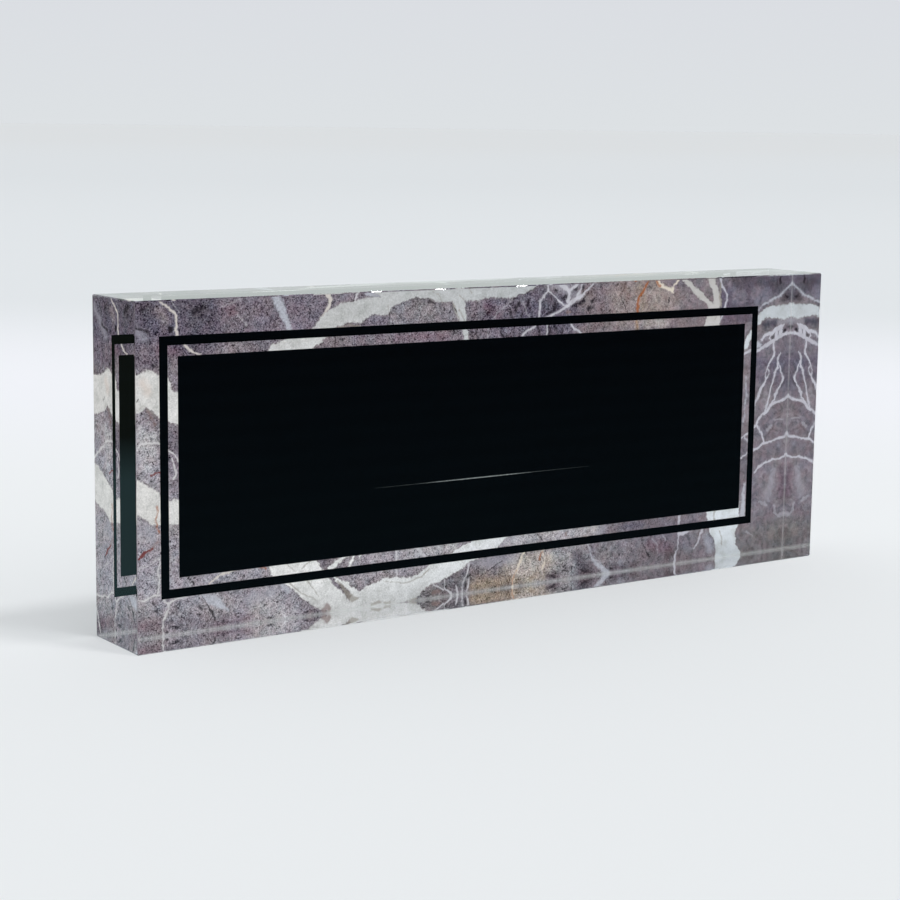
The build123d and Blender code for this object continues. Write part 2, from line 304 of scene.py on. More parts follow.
OXBLOOD_THREADS = [
    [(-89.8, 36.3, 0.3), (-88.7, 36.6, 0.5), (-87.6, 36.4, 0.4)],
    [(-93.4, 17.9, 0.4), (-91.8, 19, 0.65), (-90, 19.9, 0.35)],
]
CRACKS = [
    [(-78, 8.5, 0.15), (-76.8, 6.6, 0.15), (-75.6, 4.7, 0.4), (-74.8, 3.2, 0.5), (-74.3, 2.2, 0.3)],
    [(-28.5, 66.4, 0.2), (-28.4, 69.4, 0.2)],
    [(42.8, 67.6, 0.25), (42.2, 69.2, 0.2), (40.6, 71.6, 0.15)], [(56.8, 68.6, 0.3), (57.2, 70.1, 0.4)],
    [(50.3, 6.6, 0.2), (51.7, 4.6, 0.25), (52.9, 2.9, 0.25)],
    [(1.6, 4.8, 0.2), (3.7, 6.2, 0.25), (5.8, 6.8, 0.15)], [(-43, 64.8, 0.2), (-43, 62.2, 0.2)],
    [(-93.3, 52.4, 0.25), (-92.6, 53.3, 0.25)], [(16.2, 12.6, 0.25), (18, 10.8, 0.25)],
    [(-84.9, 68.5, 0.5), (-84.4, 67.9, 0.7)], [(-9.6, 69.7, 0.3), (-9.2, 69.2, 0.4)],
]

# Soft patches in the ground of the marble: colour, strength, softness in millimetres, kind of wander, places
GROUND = [
    ("A09CA1", 0.85, 5.0, "drifting", [
        [(-97, 46, 10), (-94, 24, 20), (-92, 8, 14)], [(-92, 6, 12), (-58, 6.4, 14)],
        [(-36, 9.4, 6), (-9, 10.6, 4)],
    ]),
    ("B0ADAF", 0.9, 2.5, "drifting", [
        [(7, 11.9, 3.4), (34, 11.7, 3.4)], [(-92, 45, 4), (-91, 38.6, 3)],
        [(-65, 4.4, 2), (-59, 4.4, 2)], [(-58.6, 1.6, 1.4), (-55, 1.4, 1.4)],
        [(-18, 11.6, 2), (-10, 11.6, 2)],
    ]),
    ("88858A", 0.8, 4.0, "drifting", [
        [(-27, 69, 6), (-11, 69, 6)], [(38, 5, 5), (47, 4, 6)],
    ]),
    ("A4A3A4", 0.85, 3.0, "drifting", [[(21, 5, 6), (27, 4.8, 7)]]),
    ("7F7476", 0.8, 5.0, "drifting", [
        [(30, 69, 8), (40, 69, 8)], [(61, 67.6, 8), (68, 66, 8)],
    ]),
    ("9C908B", 0.85, 4.0, "drifting", [[(44, 69, 9), (55, 68.6, 7)]]),
    ("A8A19D", 0.85, 1.5, "gentle", [[(50, 63.6, 2), (56, 63.6, 2)]]),
    ("8A8077", 0.85, 2.5, "drifting", [[(-3, 2, 2.4), (8, 2, 3)]]),
    ("B6AFA8", 0.85, 3.0, "drifting", [[(11, 4.4, 6), (17.6, 4.8, 5)]]),
    ("777179", 0.8, 4.0, "drifting", [
        [(51, 5, 6), (60, 5, 8)], [(-4, 68, 3), (1, 68.4, 4)],
    ]),
    ("737173", 0.8, 2.5, "drifting", [[(-18, 1, 2), (-7, 3, 3)]]),
    ("79757B", 0.85, 2.0, "gentle", [[(64.6, 4.8, 4), (67.4, 4, 4)]]),
    ("979BA5", 0.8, 1.5, "gentle", [[(72.4, 6, 2), (74, 3.4, 2)]]),
    ("726F70", 0.85, 4.0, "drifting", [[(86.6, 3, 7), (101, 3, 9)]]),
    ("5B5662", 0.9, 3.5, "drifting", [
        [(-101, 70, 13), (-79, 69.4, 13)], [(78, 69, 7), (88, 73, 7), (101, 73, 8)],
    ]),
    ("868086", 0.8, 2.0, "gentle", [[(-101, 3, 5), (-90, 2.4, 4), (-68, 1.2, 1.6)]]),
    ("645F6B", 0.9, 3.5, "drifting", [[(4, 68.6, 8), (14, 67.6, 12), (25, 66.4, 6)]]),
    ("756D77", 0.85, 3.0, "drifting", [
        [(-67, 71, 8), (-50, 70, 10)], [(-98, 63, 3), (-88, 63.4, 4)], [(-36, 67.4, 1), (-30, 67.6, 1)],
    ]),
    ("686370", 0.85, 3.0, "drifting", [[(89.4, 50, 5), (95, 49, 7), (99, 48, 8)]]),
    ("665B65", 0.85, 3.0, "drifting", [[(77, 63.6, 2), (84, 63.6, 2)]]),
    ("8A7F7F", 0.7, 1.5, "gentle", [[(-87.6, 72.4, 1.6), (-86.4, 70, 2)]]),
    ("7C7782", 0.85, 0.7, "gentle", [
        [(87.8, 69.6, 5), (91.4, 69.3, 4)], [(80.6, 69.4, 4), (82.2, 69.2, 4)],
        [(77.6, 73, 2), (78.2, 72.4, 2.4)], [(3, 69.2, 2.4), (6.2, 68.8, 2.4)],
        [(12.4, 71.8, 1), (13.4, 70.8, 1)],
    ]),
    ("504C53", 0.8, 1.8, "gentle", [
        [(28.8, 6, 2), (30.4, 3.4, 3), (33, 1, 2)], [(16.8, 70, 1.2), (19.8, 69, 2), (18.8, 67.4, 0.8)],
        [(26.4, 72.4, 0.5), (27.4, 73.4, 0.5)], [(29.4, 73.6, 0.6), (30.4, 73.4, 0.6)],
        [(-101, 2.4, 3), (-96, 2, 2)], [(-79, 71, 1.6), (-75.8, 73.2, 1.6)],
        [(79.6, 74.2, 1.2), (84.4, 74, 1.4)], [(92, 72.6, 1.6), (95.6, 72, 2)],
        [(98, 69.2, 1.2), (98.8, 68.8, 1.2)], [(-91, 72.6, 1.2), (-89.6, 71.6, 1.2)],
    ]),
    ("4A4A57", 0.85, 1.2, "gentle", [[(90.6, 61.6, 2), (94.4, 61.9, 2.2)]]),
    ("5C5156", 0.75, 1.2, "gentle", [
        [(19.6, 1.4, 1.2), (22, 1.4, 1.8)], [(30.4, 1.4, 1.6), (33.4, 0.8, 1.6)],
        [(59.6, 2, 1.6), (61, 2.4, 1.2)], [(41, 1, 0.8), (49, 1.2, 1.2)],
    ]),
    ("5F5B67", 0.75, 1.2, "gentle", [[(43.4, 11.6, 1.4), (50, 11.4, 1.6)]]),
    ("AA9E90", 0.7, 1.2, "gentle", [
        [(9, 1, 1.4), (18, 1.2, 1.6)], [(-3.2, 1.6, 1), (0.2, 1.8, 1.2)],
    ]),
    ("74645F", 0.8, 1.5, "gentle", [[(42.4, 73.6, 1.2), (43.4, 70.6, 1.2)]]),
    ("504E56", 0.75, 0.6, "gentle", [
        [(-27.6, 70.4, 0.6), (-26.4, 71.6, 0.8), (-24, 72.3, 0.9), (-20, 72.7, 0.9), (-16, 72.2, 1.1),
         (-15, 71.2, 0.6)],
        [(-10.8, 71.4, 0.8), (-10.1, 69.6, 0.6)], [(-6.8, 71.4, 0.9), (-5.4, 70.4, 0.9)],
        [(-2, 72, 0.7), (1.6, 72.2, 0.7)], [(7.6, 71.8, 0.8), (9.6, 72.6, 1), (12.8, 73.7, 0.9)],
        [(4.4, 64.4, 0.6), (4.7, 62, 0.6)], [(19.8, 64.4, 0.8), (21.6, 62.2, 1)],
    ]),
    ("87828B", 0.7, 0.6, "gentle", [
        [(17.6, 69.6, 0.8), (18.8, 69, 0.8)], [(10.6, 71.4, 1), (11.4, 69.6, 0.8)],
        [(6, 64, 1.2), (9, 63.6, 1)], [(23.4, 64, 0.6), (24.6, 62.6, 1)],
    ]),
    ("3F3B44", 0.8, 0.7, "gentle", [
        [(14.9, 70.6, 0.3), (16.4, 69.6, 0.6), (16.8, 67.6, 0.5)],
        [(18.4, 71.6, 0.5), (20.2, 70.8, 0.8), (20.8, 69, 0.7), (20.2, 67.6, 0.6)],
        [(8.2, 69, 0.5), (9.4, 70.4, 0.5)], [(12.4, 70, 0.5), (13.4, 67.4, 0.4)],
        [(14.8, 64.4, 0.6), (15.6, 62, 0.6)], [(20.4, 64.4, 0.8), (21.8, 62, 0.8)],
        [(25.4, 69, 0.4), (29.4, 70.2, 0.9)], [(5.4, 62.4, 0.4), (8, 62.2, 0.4)],
    ]),
    ("B5925F", 0.7, 0.8, "gentle", [[(46.2, 65.4, 0.5), (46.9, 61.8, 0.7)]]),
    ("64505A", 0.7, 1.6, "gentle", [[(98.8, 22, 1.4), (99.2, 15, 1.8)]]),
    ("70525E", 0.5, 1.6, "gentle", [
        [(-71, 71.8, 1.8), (-69.8, 71.6, 1.8)], [(-87.6, 63.6, 1.4), (-84, 63.4, 1.6)],
        [(53, 6, 1.6), (60, 4.4, 1.6)], [(0, 70, 2), (2.4, 68.4, 2)], [(-74, 1, 0.8), (-66, 1.2, 1)],
        [(-98, 2.6, 2), (-89, 2.6, 1.2)], [(-26, 63.6, 1.2), (-12, 63.4, 1.2)],
    ]),
    ("A38C6C", 0.3, 1.6, "gentle", [
        [(-3, 1, 1.4), (3, 1.4, 2), (9, 1, 1.4)], [(15, 1.6, 0.6), (19.6, 5.6, 0.8)],
        [(48, 73, 1.2), (48.6, 67.6, 1.2)],
    ]),
]

# Spots of dark mineral, given as the veins are
DARK_SPOTS = [
    [(-84.9, 68.4, 0.9), (-84.5, 68, 1)], [(-79.2, 71.8, 1), (-77, 72.8, 0.6)],
    [(-91.9, 73.3, 0.7), (-91.6, 72.8, 0.8)], [(-94, 69.6, 0.6), (-90.6, 67.6, 0.4)],
    [(-41.5, 63.7, 0.5), (-41, 63.5, 0.5)], [(-4.9, 64.5, 0.4), (-4.4, 62.5, 0.5)],
    [(-3.6, 64.4, 0.3), (-3, 62.6, 0.3)], [(-1.6, 64.2, 0.4), (-2, 63.4, 0.5)],
    [(-25.6, 64.2, 0.3), (-25.2, 64.2, 0.3)], [(-10.2, 63.6, 0.3), (-9.6, 64.1, 0.3)],
    [(-17.6, 71.9, 0.5), (-15.2, 71.2, 0.6)], [(-3.8, 67.4, 0.4), (-3.2, 68, 0.3)],
    [(23.1, 71, 1.1), (23.7, 71.4, 1.2)], [(26.6, 73.1, 0.7), (27, 73.4, 0.7)],
    [(29, 73.3, 0.6), (29.4, 73.6, 0.5)], [(20, 73.4, 0.4), (20.6, 73, 0.4)],
    [(25.8, 68.9, 0.3), (27.6, 69.3, 0.6), (29.5, 70.4, 1.1)], [(17.2, 66.9, 0.4), (19.6, 67.7, 0.5)],
    [(15.2, 64.6, 0.5), (15.6, 62, 0.6)], [(18.7, 64.4, 0.6), (18.9, 62, 0.5)],
    [(8.4, 68.6, 0.7), (9.4, 70.4, 0.5)], [(12.2, 70.8, 0.8), (11.4, 69, 0.6)],
    [(10.6, 68, 0.4), (9.9, 67, 0.6)], [(31.8, 70, 0.5), (33, 71, 0.5)],
    [(30.8, 68, 0.8), (31.6, 68.4, 0.8)], [(11.6, 73.2, 0.7), (13.2, 73.8, 0.5)],
    [(7, 67.4, 0.8), (6.6, 68.8, 0.7)], [(19.4, 66.8, 0.4), (20.6, 69.8, 0.6)],
    [(4.2, 63.6, 0.6), (4.6, 62.8, 0.6)], [(22.8, 63.6, 0.5), (22.6, 62.6, 0.5)],
    [(95.6, 73.8, 0.5), (95.9, 72.7, 0.6)], [(98.1, 69.2, 0.6), (98.8, 68.8, 0.6)],
    [(93.7, 58.1, 0.3), (93.9, 58.3, 0.3)], [(97.6, 59.5, 0.6), (98, 59.6, 0.6)],
    [(99.6, 60.6, 0.5), (100, 60.6, 0.5)], [(-89.2, 5.7, 0.4), (-88.8, 5.7, 0.4)],
    [(-89.8, 7.8, 0.3), (-89.7, 7.5, 0.3)], [(-84.6, 1.5, 0.7), (-83.2, 1.8, 0.8)],
    [(-78.2, 5.4, 0.6), (-77.4, 4.8, 0.4)], [(-72.4, 1.6, 0.3), (-72.1, 1.3, 0.3)],
    [(-68.5, 2.1, 0.3), (-68.2, 1.9, 0.3)], [(-86.8, 0.6, 0.4), (-86.5, 0.7, 0.4)],
    [(-60.4, 0.9, 0.4), (-59.8, 0.7, 0.4)], [(-81, 12.4, 0.5), (-80.6, 12.2, 0.55)],
    [(-80, 11.3, 0.5), (-79.7, 10.9, 0.6)], [(-67.2, 11.2, 0.3), (-66.9, 11, 0.3)],
    [(-5.8, 1.9, 0.5), (-5.6, 1.3, 0.6)], [(-5.4, 4.8, 0.6), (-4.9, 4, 0.8)],
    [(24.6, 3.6, 0.5), (25.6, 2.6, 0.6)], [(20.8, 1.4, 0.6), (21.8, 0.8, 0.5)],
    [(30.9, 1.9, 0.8), (31.9, 1.4, 0.6)], [(24.2, 2.2, 0.5), (26.4, 1.6, 0.4)],
    [(27, 3, 0.4), (27.4, 2.4, 0.4)], [(42.8, 4.4, 0.4), (43.1, 4.2, 0.4)],
    [(46.7, 7, 0.4), (47, 6.6, 0.4)], [(38.3, 6.4, 0.3), (38.5, 6, 0.3)],
    [(40, 0.8, 0.4), (40.6, 0.6, 0.4)], [(72.9, 0.5, 0.5), (73.7, 0.4, 0.5)],
    [(-91.4, 51.8, 0.35), (-91, 51.6, 0.35)], [(-90.3, 49.4, 0.3), (-90, 49, 0.4)],
    [(-84.9, 54.5, 0.3), (-84, 56, 0.35)], [(-89.2, 60.6, 0.4), (-88.8, 60.3, 0.3)],
]


def linear(hex_colour):
    """Linear RGBA from an sRGB hex colour."""
    channels = [int(hex_colour[i:i + 2], 16) / 255 for i in (0, 2, 4)]
    return [c / 12.92 if c <= 0.04045 else ((c + 0.055) / 1.055) ** 2.4 for c in channels] + [1.0]


def add_node(tree, kind, inputs=None, **settings):
    """Add a node with its properties and its inputs, each a value or a socket to link. Gives its outputs."""
    node = tree.nodes.new(kind)
    for name, value in settings.items():
        setattr(node, name, value)
    for key, value in (inputs or {}).items():
        if isinstance(value, bpy.types.NodeSocket):
            tree.links.new(value, node.inputs[key])
        else:
            node.inputs[key].default_value = value
    return node.outputs


def fade(tree, value, start, end, first, second, curve="LINEAR"):
    """Colour that goes from the first to the second as a value goes from start to end."""
    share = add_node(tree, "ShaderNodeMapRange", {"Value": value, "From Min": start, "From Max": end},
                     interpolation_type=curve)[0]
    return add_node(tree, "ShaderNodeMix", {0: share, 6: first, 7: second}, data_type="RGBA")[2]


def new_material(name):
    """Empty material, its node tree, and its object coordinates in millimetres."""
    material = bpy.data.materials.new(name)
    material.use_nodes = True
    tree = material.node_tree
    tree.nodes.clear()
    place = add_node(tree, "ShaderNodeTexCoord")["Object"]
    in_mm = add_node(tree, "ShaderNodeVectorMath", {0: place, "Scale": PER_METRE}, operation="SCALE")[0]
    return material, tree, in_mm


def vein_segment_group():
    """Node group: the smaller of a running distance and the distance to one tapered vein segment."""
    group = bpy.data.node_groups.new("vein_segment", "ShaderNodeTree")
    for name in ("Place", "Start", "Run", "Run over length squared"):
        group.interface.new_socket(name, in_out="INPUT", socket_type="NodeSocketVector")
    for name in ("Half width", "Widening", "Distance so far"):
        group.interface.new_socket(name, in_out="INPUT", socket_type="NodeSocketFloat")
    group.interface.new_socket("Distance", in_out="OUTPUT", socket_type="NodeSocketFloat")
    given = add_node(group, "NodeGroupInput")
    from_start = add_node(group, "ShaderNodeVectorMath", {0: given["Place"], 1: given["Start"]},
                          operation="SUBTRACT")[0]
    along = add_node(group, "ShaderNodeVectorMath", {0: from_start, 1: given["Run over length squared"]},
                     operation="DOT_PRODUCT")["Value"]
    share = add_node(group, "ShaderNodeClamp", {"Value": along})[0]
    nearest = add_node(group, "ShaderNodeVectorMath", {0: given["Run"], "Scale": share}, operation="SCALE")[0]
    away = add_node(group, "ShaderNodeVectorMath", {0: from_start, 1: nearest}, operation="DISTANCE")["Value"]
    half = add_node(group, "ShaderNodeMath", {0: share, 1: given["Widening"], 2: given["Half width"]},
                    operation="MULTIPLY_ADD")[0]
    outside = add_node(group, "ShaderNodeMath", {0: away, 1: half}, operation="SUBTRACT")[0]
    least = add_node(group, "ShaderNodeMath", {0: outside, 1: given["Distance so far"]},
                     operation="MINIMUM")[0]
    add_node(group, "NodeGroupOutput", {"Distance": least})
    return group


def vein_distance(tree, group, place, veins):
    """Distance in millimetres from the nearest of the veins' edges, below zero inside a vein."""
    nearest = FAR_BEYOND
    for vein in veins:
        for (x0, z0, width0), (x1, z1, width1) in zip(vein, vein[1:]):
            run = Vector((x1 - x0, 0, z1 - z0))
            nearest = add_node(tree, "ShaderNodeGroup", {
                "Place": place,
                "Start": (x0, 0, z0),
                "Run": run,
                "Run over length squared": run / run.length_squared,
                "Half width": width0 / 2,
                "Widening": (width1 - width0) / 2,
                "Distance so far": nearest,
            }, node_tree=group)[0]
    return nearest


def marble_ink():
    """Marble printed by UV jet: a mottled, grainy mauve-grey ground with veins, stains and cracks over it."""
    material, tree, place = new_material("marble_uv_print")
    group = vein_segment_group()
    axes = add_node(tree, "ShaderNodeSeparateXYZ", {0: place})
    flat = add_node(tree, "ShaderNodeVectorMath", {0: place, 1: (1, 0, 1), 2: VEIN_OFFSET},
                    operation="MULTIPLY_ADD")[0]

    # Places pushed about by noise, so that veins and patches wander: start, size of the bends and reach in mm
    wandering = {}
    for name, start, bend, reach in (
        ("drifting", flat, 7.0, 5.0),
        ("gentle", flat, 3.2, 1.5),
        ("crooked", "gentle", 0.9, 0.7),
    ):
        noise = add_node(tree, "ShaderNodeTexNoise", {"Vector": place, "Scale": 1 / bend, "Detail": 2.0})
        push = add_node(tree, "ShaderNodeVectorMath", {0: noise["Color"], 1: (0.5, 0.5, 0.5)},
                        operation="SUBTRACT")[0]
        wandering[name] = add_node(tree, "ShaderNodeVectorMath", {
            0: push, 1: (reach, 0, reach), 2: wandering.get(start, start),
        }, operation="MULTIPLY_ADD")[0]
    fray = add_node(tree, "ShaderNodeTexNoise", {
        "Vector": place, "Scale": 1 / 0.8, "Detail": 3.0, "Roughness": 0.6,
    })["Fac"]
    fray = add_node(tree, "ShaderNodeMath", {0: fray, 1: 0.5}, operation="SUBTRACT")[0]

    def layer(under, veins, where, frayed, outer, inner, strength, colour):
        """Lay veins of a colour over the stone. Their strength rises from the outer to the inner distance."""
        nearest = vein_distance(tree, group, wandering[where], veins)
        nearest = add_node(tree, "ShaderNodeMath", {0: fray, 1: frayed, 2: nearest},
                           operation="MULTIPLY_ADD")[0]
        share = add_node(tree, "ShaderNodeMapRange", {
            "Value": nearest, "From Min": outer, "From Max": inner, "To Max": strength,
        }, interpolation_type="SMOOTHSTEP")[0]
        return add_node(tree, "ShaderNodeMix", {0: share, 6: under, 7: colour}, data_type="RGBA")[2]

    # Ground: clouds of 9 mm, then the soft patches
    cloud = add_node(tree, "ShaderNodeTexNoise", {
        "Vector": place, "Scale": 1 / 9.0, "Detail": 4.0, "Roughness": 0.6,
    })["Fac"]
    stone = fade(tree, cloud, 0.3, 0.7, linear("716A71"), linear("868086"))
    for colour, strength, softness, where, patches in GROUND:
        stone = layer(stone, patches, where, frayed=2.0, outer=softness, inner=-1.0,
                      strength=strength, colour=linear(colour))

    # Grain, crisp on the left and smoother to the right: size in mm, contrast
    crisp = add_node(tree, "ShaderNodeMapRange", {
        "Value": axes["X"], "From Min": 10.0, "From Max": 85.0, "To Min": 1.08, "To Max": 0.2,
    })[0]
    grain = 0.0
    for size, contrast in ((0.3, 3.0), (0.6, 1.5)):
        noise = add_node(tree, "ShaderNodeTexNoise", {
            "Vector": place, "Scale": 1 / size, "Detail": 1.0, "Distortion": 0.8,
        })["Fac"]
        noise = add_node(tree, "ShaderNodeMath", {0: noise, 1: 0.5}, operation="SUBTRACT")[0]
        grain = add_node(tree, "ShaderNodeMath", {0: noise, 1: contrast, 2: grain},
                         operation="MULTIPLY_ADD")[0]
    grain = add_node(tree, "ShaderNodeMath", {0: grain, 1: crisp}, operation="MULTIPLY")[0]

    # Mottling of about 2 mm. It multiplies the colour together with the grain, and some of the grain is added
    mottle = add_node(tree, "ShaderNodeTexNoise", {
        "Vector": place, "Scale": 1 / 2.2, "Detail": 3.0, "Roughness": 0.55, "Distortion": 1.2,
    })["Fac"]
    mottle = add_node(tree, "ShaderNodeMapRange", {
        "Value": mottle, "From Min": 0.25, "From Max": 0.75, "To Min": 0.58, "To Max": 1.42,
    })[0]
    tone = add_node(tree, "ShaderNodeMath", {0: grain, 1: 0.68, 2: mottle}, operation="MULTIPLY_ADD")[0]
    tone = add_node(tree, "ShaderNodeMath", {0: tone, 1: 0.3}, operation="MAXIMUM")[0]
    stone = add_node(tree, "ShaderNodeMix", {0: 1.0, 6: stone, 7: tone}, data_type="RGBA",
                     blend_type="MULTIPLY")[2]
    specks = add_node(tree, "ShaderNodeMath", {0: grain, 1: 0.09}, operation="MULTIPLY")[0]
    stone = add_node(tree, "ShaderNodeMix", {0: 1.0, 6: stone, 7: specks}, data_type="RGBA",
                     blend_type="ADD")[2]

    # Tints from cool grey to rose, and more broadly from lilac to tan: size in mm, strength, two colours
    for size, strength, cool, warm in ((2.6, 0.5, "B6C0C4", "C9B6BA"), (6.0, 0.35, "B9BACB", "C4BEB2")):
        tint = add_node(tree, "ShaderNodeTexNoise", {
            "Vector": place, "Scale": 1 / size, "Detail": 3.0, "Roughness": 0.6,
        })["Fac"]
        tint = fade(tree, tint, 0.35, 0.65, linear(cool), linear(warm))
        stone = add_node(tree, "ShaderNodeMix", {0: strength, 6: stone, 7: tint}, data_type="RGBA",
                         blend_type="SOFT_LIGHT")[2]
    stone = layer(stone, SOFT_VEILS, "gentle", frayed=1.8, outer=1.2, inner=-0.8,
                  strength=0.5, colour=linear("A9A7B2"))

    # Specks and spots of dark mineral
    pepper = add_node(tree, "ShaderNodeTexNoise", {"Vector": place, "Scale": 1 / 0.6, "Detail": 1.0})["Fac"]
    pepper = add_node(tree, "ShaderNodeMapRange", {
        "Value": pepper, "From Min": 0.67, "From Max": 0.75, "To Max": 0.5,
    })[0]
    pepper = add_node(tree, "ShaderNodeMath", {0: pepper, 1: crisp}, operation="MULTIPLY")[0]
    stone = add_node(tree, "ShaderNodeMix", {0: pepper, 6: stone, 7: linear("38323A")}, data_type="RGBA")[2]
    broken = add_node(tree, "ShaderNodeTexNoise", {"Vector": place, "Scale": 1 / 0.5, "Detail": 1.0})["Fac"]
    broken = add_node(tree, "ShaderNodeMapRange", {
        "Value": broken, "From Min": 0.36, "From Max": 0.56, "To Min": 0.5, "To Max": 0.95,
    })[0]
    stone = layer(stone, DARK_SPOTS, "crooked", frayed=1.4, outer=0.4, inner=-0.25,
                  strength=broken, colour=linear("262128"))

    # White of the veins: cream on the left, bluish on the right, with clouds, olive wisps and a little of the
    # grain, and greyer towards the top and the foot with painted shade
    white = fade(tree, axes["X"], CREAM_UP_TO, BLUISH_FROM, linear("CFCCCA"), linear("C3C7CC"))
    drift = add_node(tree, "ShaderNodeTexNoise", {
        "Vector": place, "Scale": 1 / 3.0, "Detail": 5.0, "Roughness": 0.65,
    })["Fac"]
    wisps = add_node(tree, "ShaderNodeMapRange", {
        "Value": drift, "From Min": 0.5, "From Max": 0.36, "To Max": 0.28,
    })[0]
    white = add_node(tree, "ShaderNodeMix", {0: wisps, 6: white, 7: linear("B2B3AF")}, data_type="RGBA")[2]
    clouds = add_node(tree, "ShaderNodeMapRange", {
        "Value": drift, "From Min": 0.3, "From Max": 0.7, "To Min": 0.88, "To Max": 1.12,
    })[0]
    clouds = add_node(tree, "ShaderNodeMath", {0: grain, 1: 0.2, 2: clouds}, operation="MULTIPLY_ADD")[0]
    white = add_node(tree, "ShaderNodeMix", {0: 1.0, 6: white, 7: clouds}, data_type="RGBA",
                     blend_type="MULTIPLY")[2]
    # Painted shade: the white is darkened towards the foot and towards the top
    above_foot = add_node(tree, "ShaderNodeMapRange", {
        "Value": axes["Z"], "From Min": 1.0, "From Max": 8.0, "To Min": 1.04, "To Max": 1.36,
    })[0]
    below_top = add_node(tree, "ShaderNodeMapRange", {
        "Value": axes["Z"], "From Min": 71.0, "From Max": 58.0, "To Min": 0.87, "To Max": 1.1,
    })[0]
    low_down = add_node(tree, "ShaderNodeMapRange", {
        "Value": axes["Z"], "From Min": 26.0, "From Max": 11.0, "To Max": 0.24,
    })[0]
    below_top = add_node(tree, "ShaderNodeMath", {0: below_top, 1: low_down}, operation="ADD")[0]
    painted_shade = add_node(tree, "ShaderNodeMath", {0: above_foot, 1: below_top}, operation="MINIMUM")[0]
    white = add_node(tree, "ShaderNodeMix", {0: 1.0, 6: white, 7: painted_shade}, data_type="RGBA",
                     blend_type="MULTIPLY")[2]

    # Colours of the threads and veils, and how far the threads fade out along their way
    thread = fade(tree, axes["X"], CREAM_UP_TO, BLUISH_FROM, linear("D4D1D2"), linear("C6C4CE"))
    veil = add_node(tree, "ShaderNodeMix", {0: 1.0, 6: linear("BFC1CB"), 7: clouds}, data_type="RGBA",
                    blend_type="MULTIPLY")[2]
    faded = add_node(tree, "ShaderNodeTexNoise", {"Vector": place, "Scale": 1 / 2.5, "Detail": 2.0})["Fac"]
    faded = add_node(tree, "ShaderNodeMapRange", {
        "Value": faded, "From Min": 0.35, "From Max": 0.6, "To Min": 0.65, "To Max": 0.98,
    })[0]

    # Veins, then stains and cracks: wander, fraying, outer and inner distance in mm, strength, colour
    for veins, where, frayed, outer, inner, strength, colour in (
        (VEILS, "gentle", 1.4, 0.35, -0.55, 0.8, veil),
        (FAINT_THREADS, "crooked", 0.8, 0.2, -0.3, 0.35, thread),
        (THREADS, "crooked", 0.5, 0.5, -0.2, 0.15, thread),
        (THREADS, "crooked", 0.6, 0.13, -0.2, faded, thread),
        (CREAM_THREADS, "crooked", 0.6, 0.2, -0.22, 0.9, linear("D7CFC9")),
        (BROAD_VEINS, "gentle", 1.5, 0.7, -0.2, 0.4, linear("857B79")),
        (BROAD_VEINS, "gentle", 1.5, 0.2, -0.25, 1.0, white),
        (WARM_VEINS, "gentle", 1.5, 0.2, -0.25, 0.4, linear("CDBFB4")),
        (BLUSHES, "gentle", 1.5, 1.2, -0.6, 0.45, linear("D3BFB4")),
        (STREAKS_IN_WHITE, "gentle", 0.7, 0.2, -0.25, 0.7, linear("968F86")),
        (POCKETS, "crooked", 1.6, 0.5, -0.4, 0.7, linear("86706E")),
        (APRICOT_THREADS, "crooked", 0.9, 0.3, -0.3, 0.9, linear("E4D9CB")),
        (RUST_THREADS, "crooked", 0.8, 0.3, -0.3, 0.85, linear("A05A2A")),
        (OXBLOOD_THREADS, "crooked", 0.4, 0.16, -0.16, 0.85, linear("742C2A")),
        (CRACKS, "crooked", 0.4, 0.18, -0.16, 0.85, linear("221D22")),
    ):
        stone = layer(stone, veins, where, frayed, outer, inner, strength, colour)

    # Painted backlight: a pale rim on the print, where the white coat stops short and light comes through
    # the ink. It goes by the distance from the nearer end and from the nearer of foot and top
    from_end = add_node(tree, "ShaderNodeMath", {0: axes["X"]}, operation="ABSOLUTE")[0]
    from_end = add_node(tree, "ShaderNodeMath", {0: PRINT_HALF_WIDTH + RIM_NARROWER_AT_ENDS, 1: from_end},
                        operation="SUBTRACT")[0]
    from_foot = add_node(tree, "ShaderNodeMath", {0: axes["Z"], 1: PRINT_HALF_HEIGHT},
                         operation="SUBTRACT")[0]
    from_foot = add_node(tree, "ShaderNodeMath", {0: from_foot}, operation="ABSOLUTE")[0]
    from_foot = add_node(tree, "ShaderNodeMath", {0: PRINT_HALF_HEIGHT, 1: from_foot},
                         operation="SUBTRACT")[0]
    from_edge = add_node(tree, "ShaderNodeMath", {0: from_end, 1: from_foot}, operation="MINIMUM")[0]
    painted_backlight = add_node(tree, "ShaderNodeMapRange", {
        "Value": from_edge,
        "From Min": RIM_WIDTH + RIM_SOFTNESS,
        "From Max": RIM_WIDTH - RIM_SOFTNESS,
        "To Max": RIM_STRENGTH,
    }, interpolation_type="SMOOTHSTEP")[0]
    stone = add_node(tree, "ShaderNodeMix", {0: painted_backlight, 6: stone, 7: linear("D2D4D3")}, data_type="RGBA")[2]

    shader = add_node(tree, "ShaderNodeBsdfPrincipled", {
        "Base Color": stone, "Roughness": 0.6, "Specular IOR Level": 0.0,
    })[0]
    add_node(tree, "ShaderNodeOutputMaterial", {"Surface": shader})
    return material


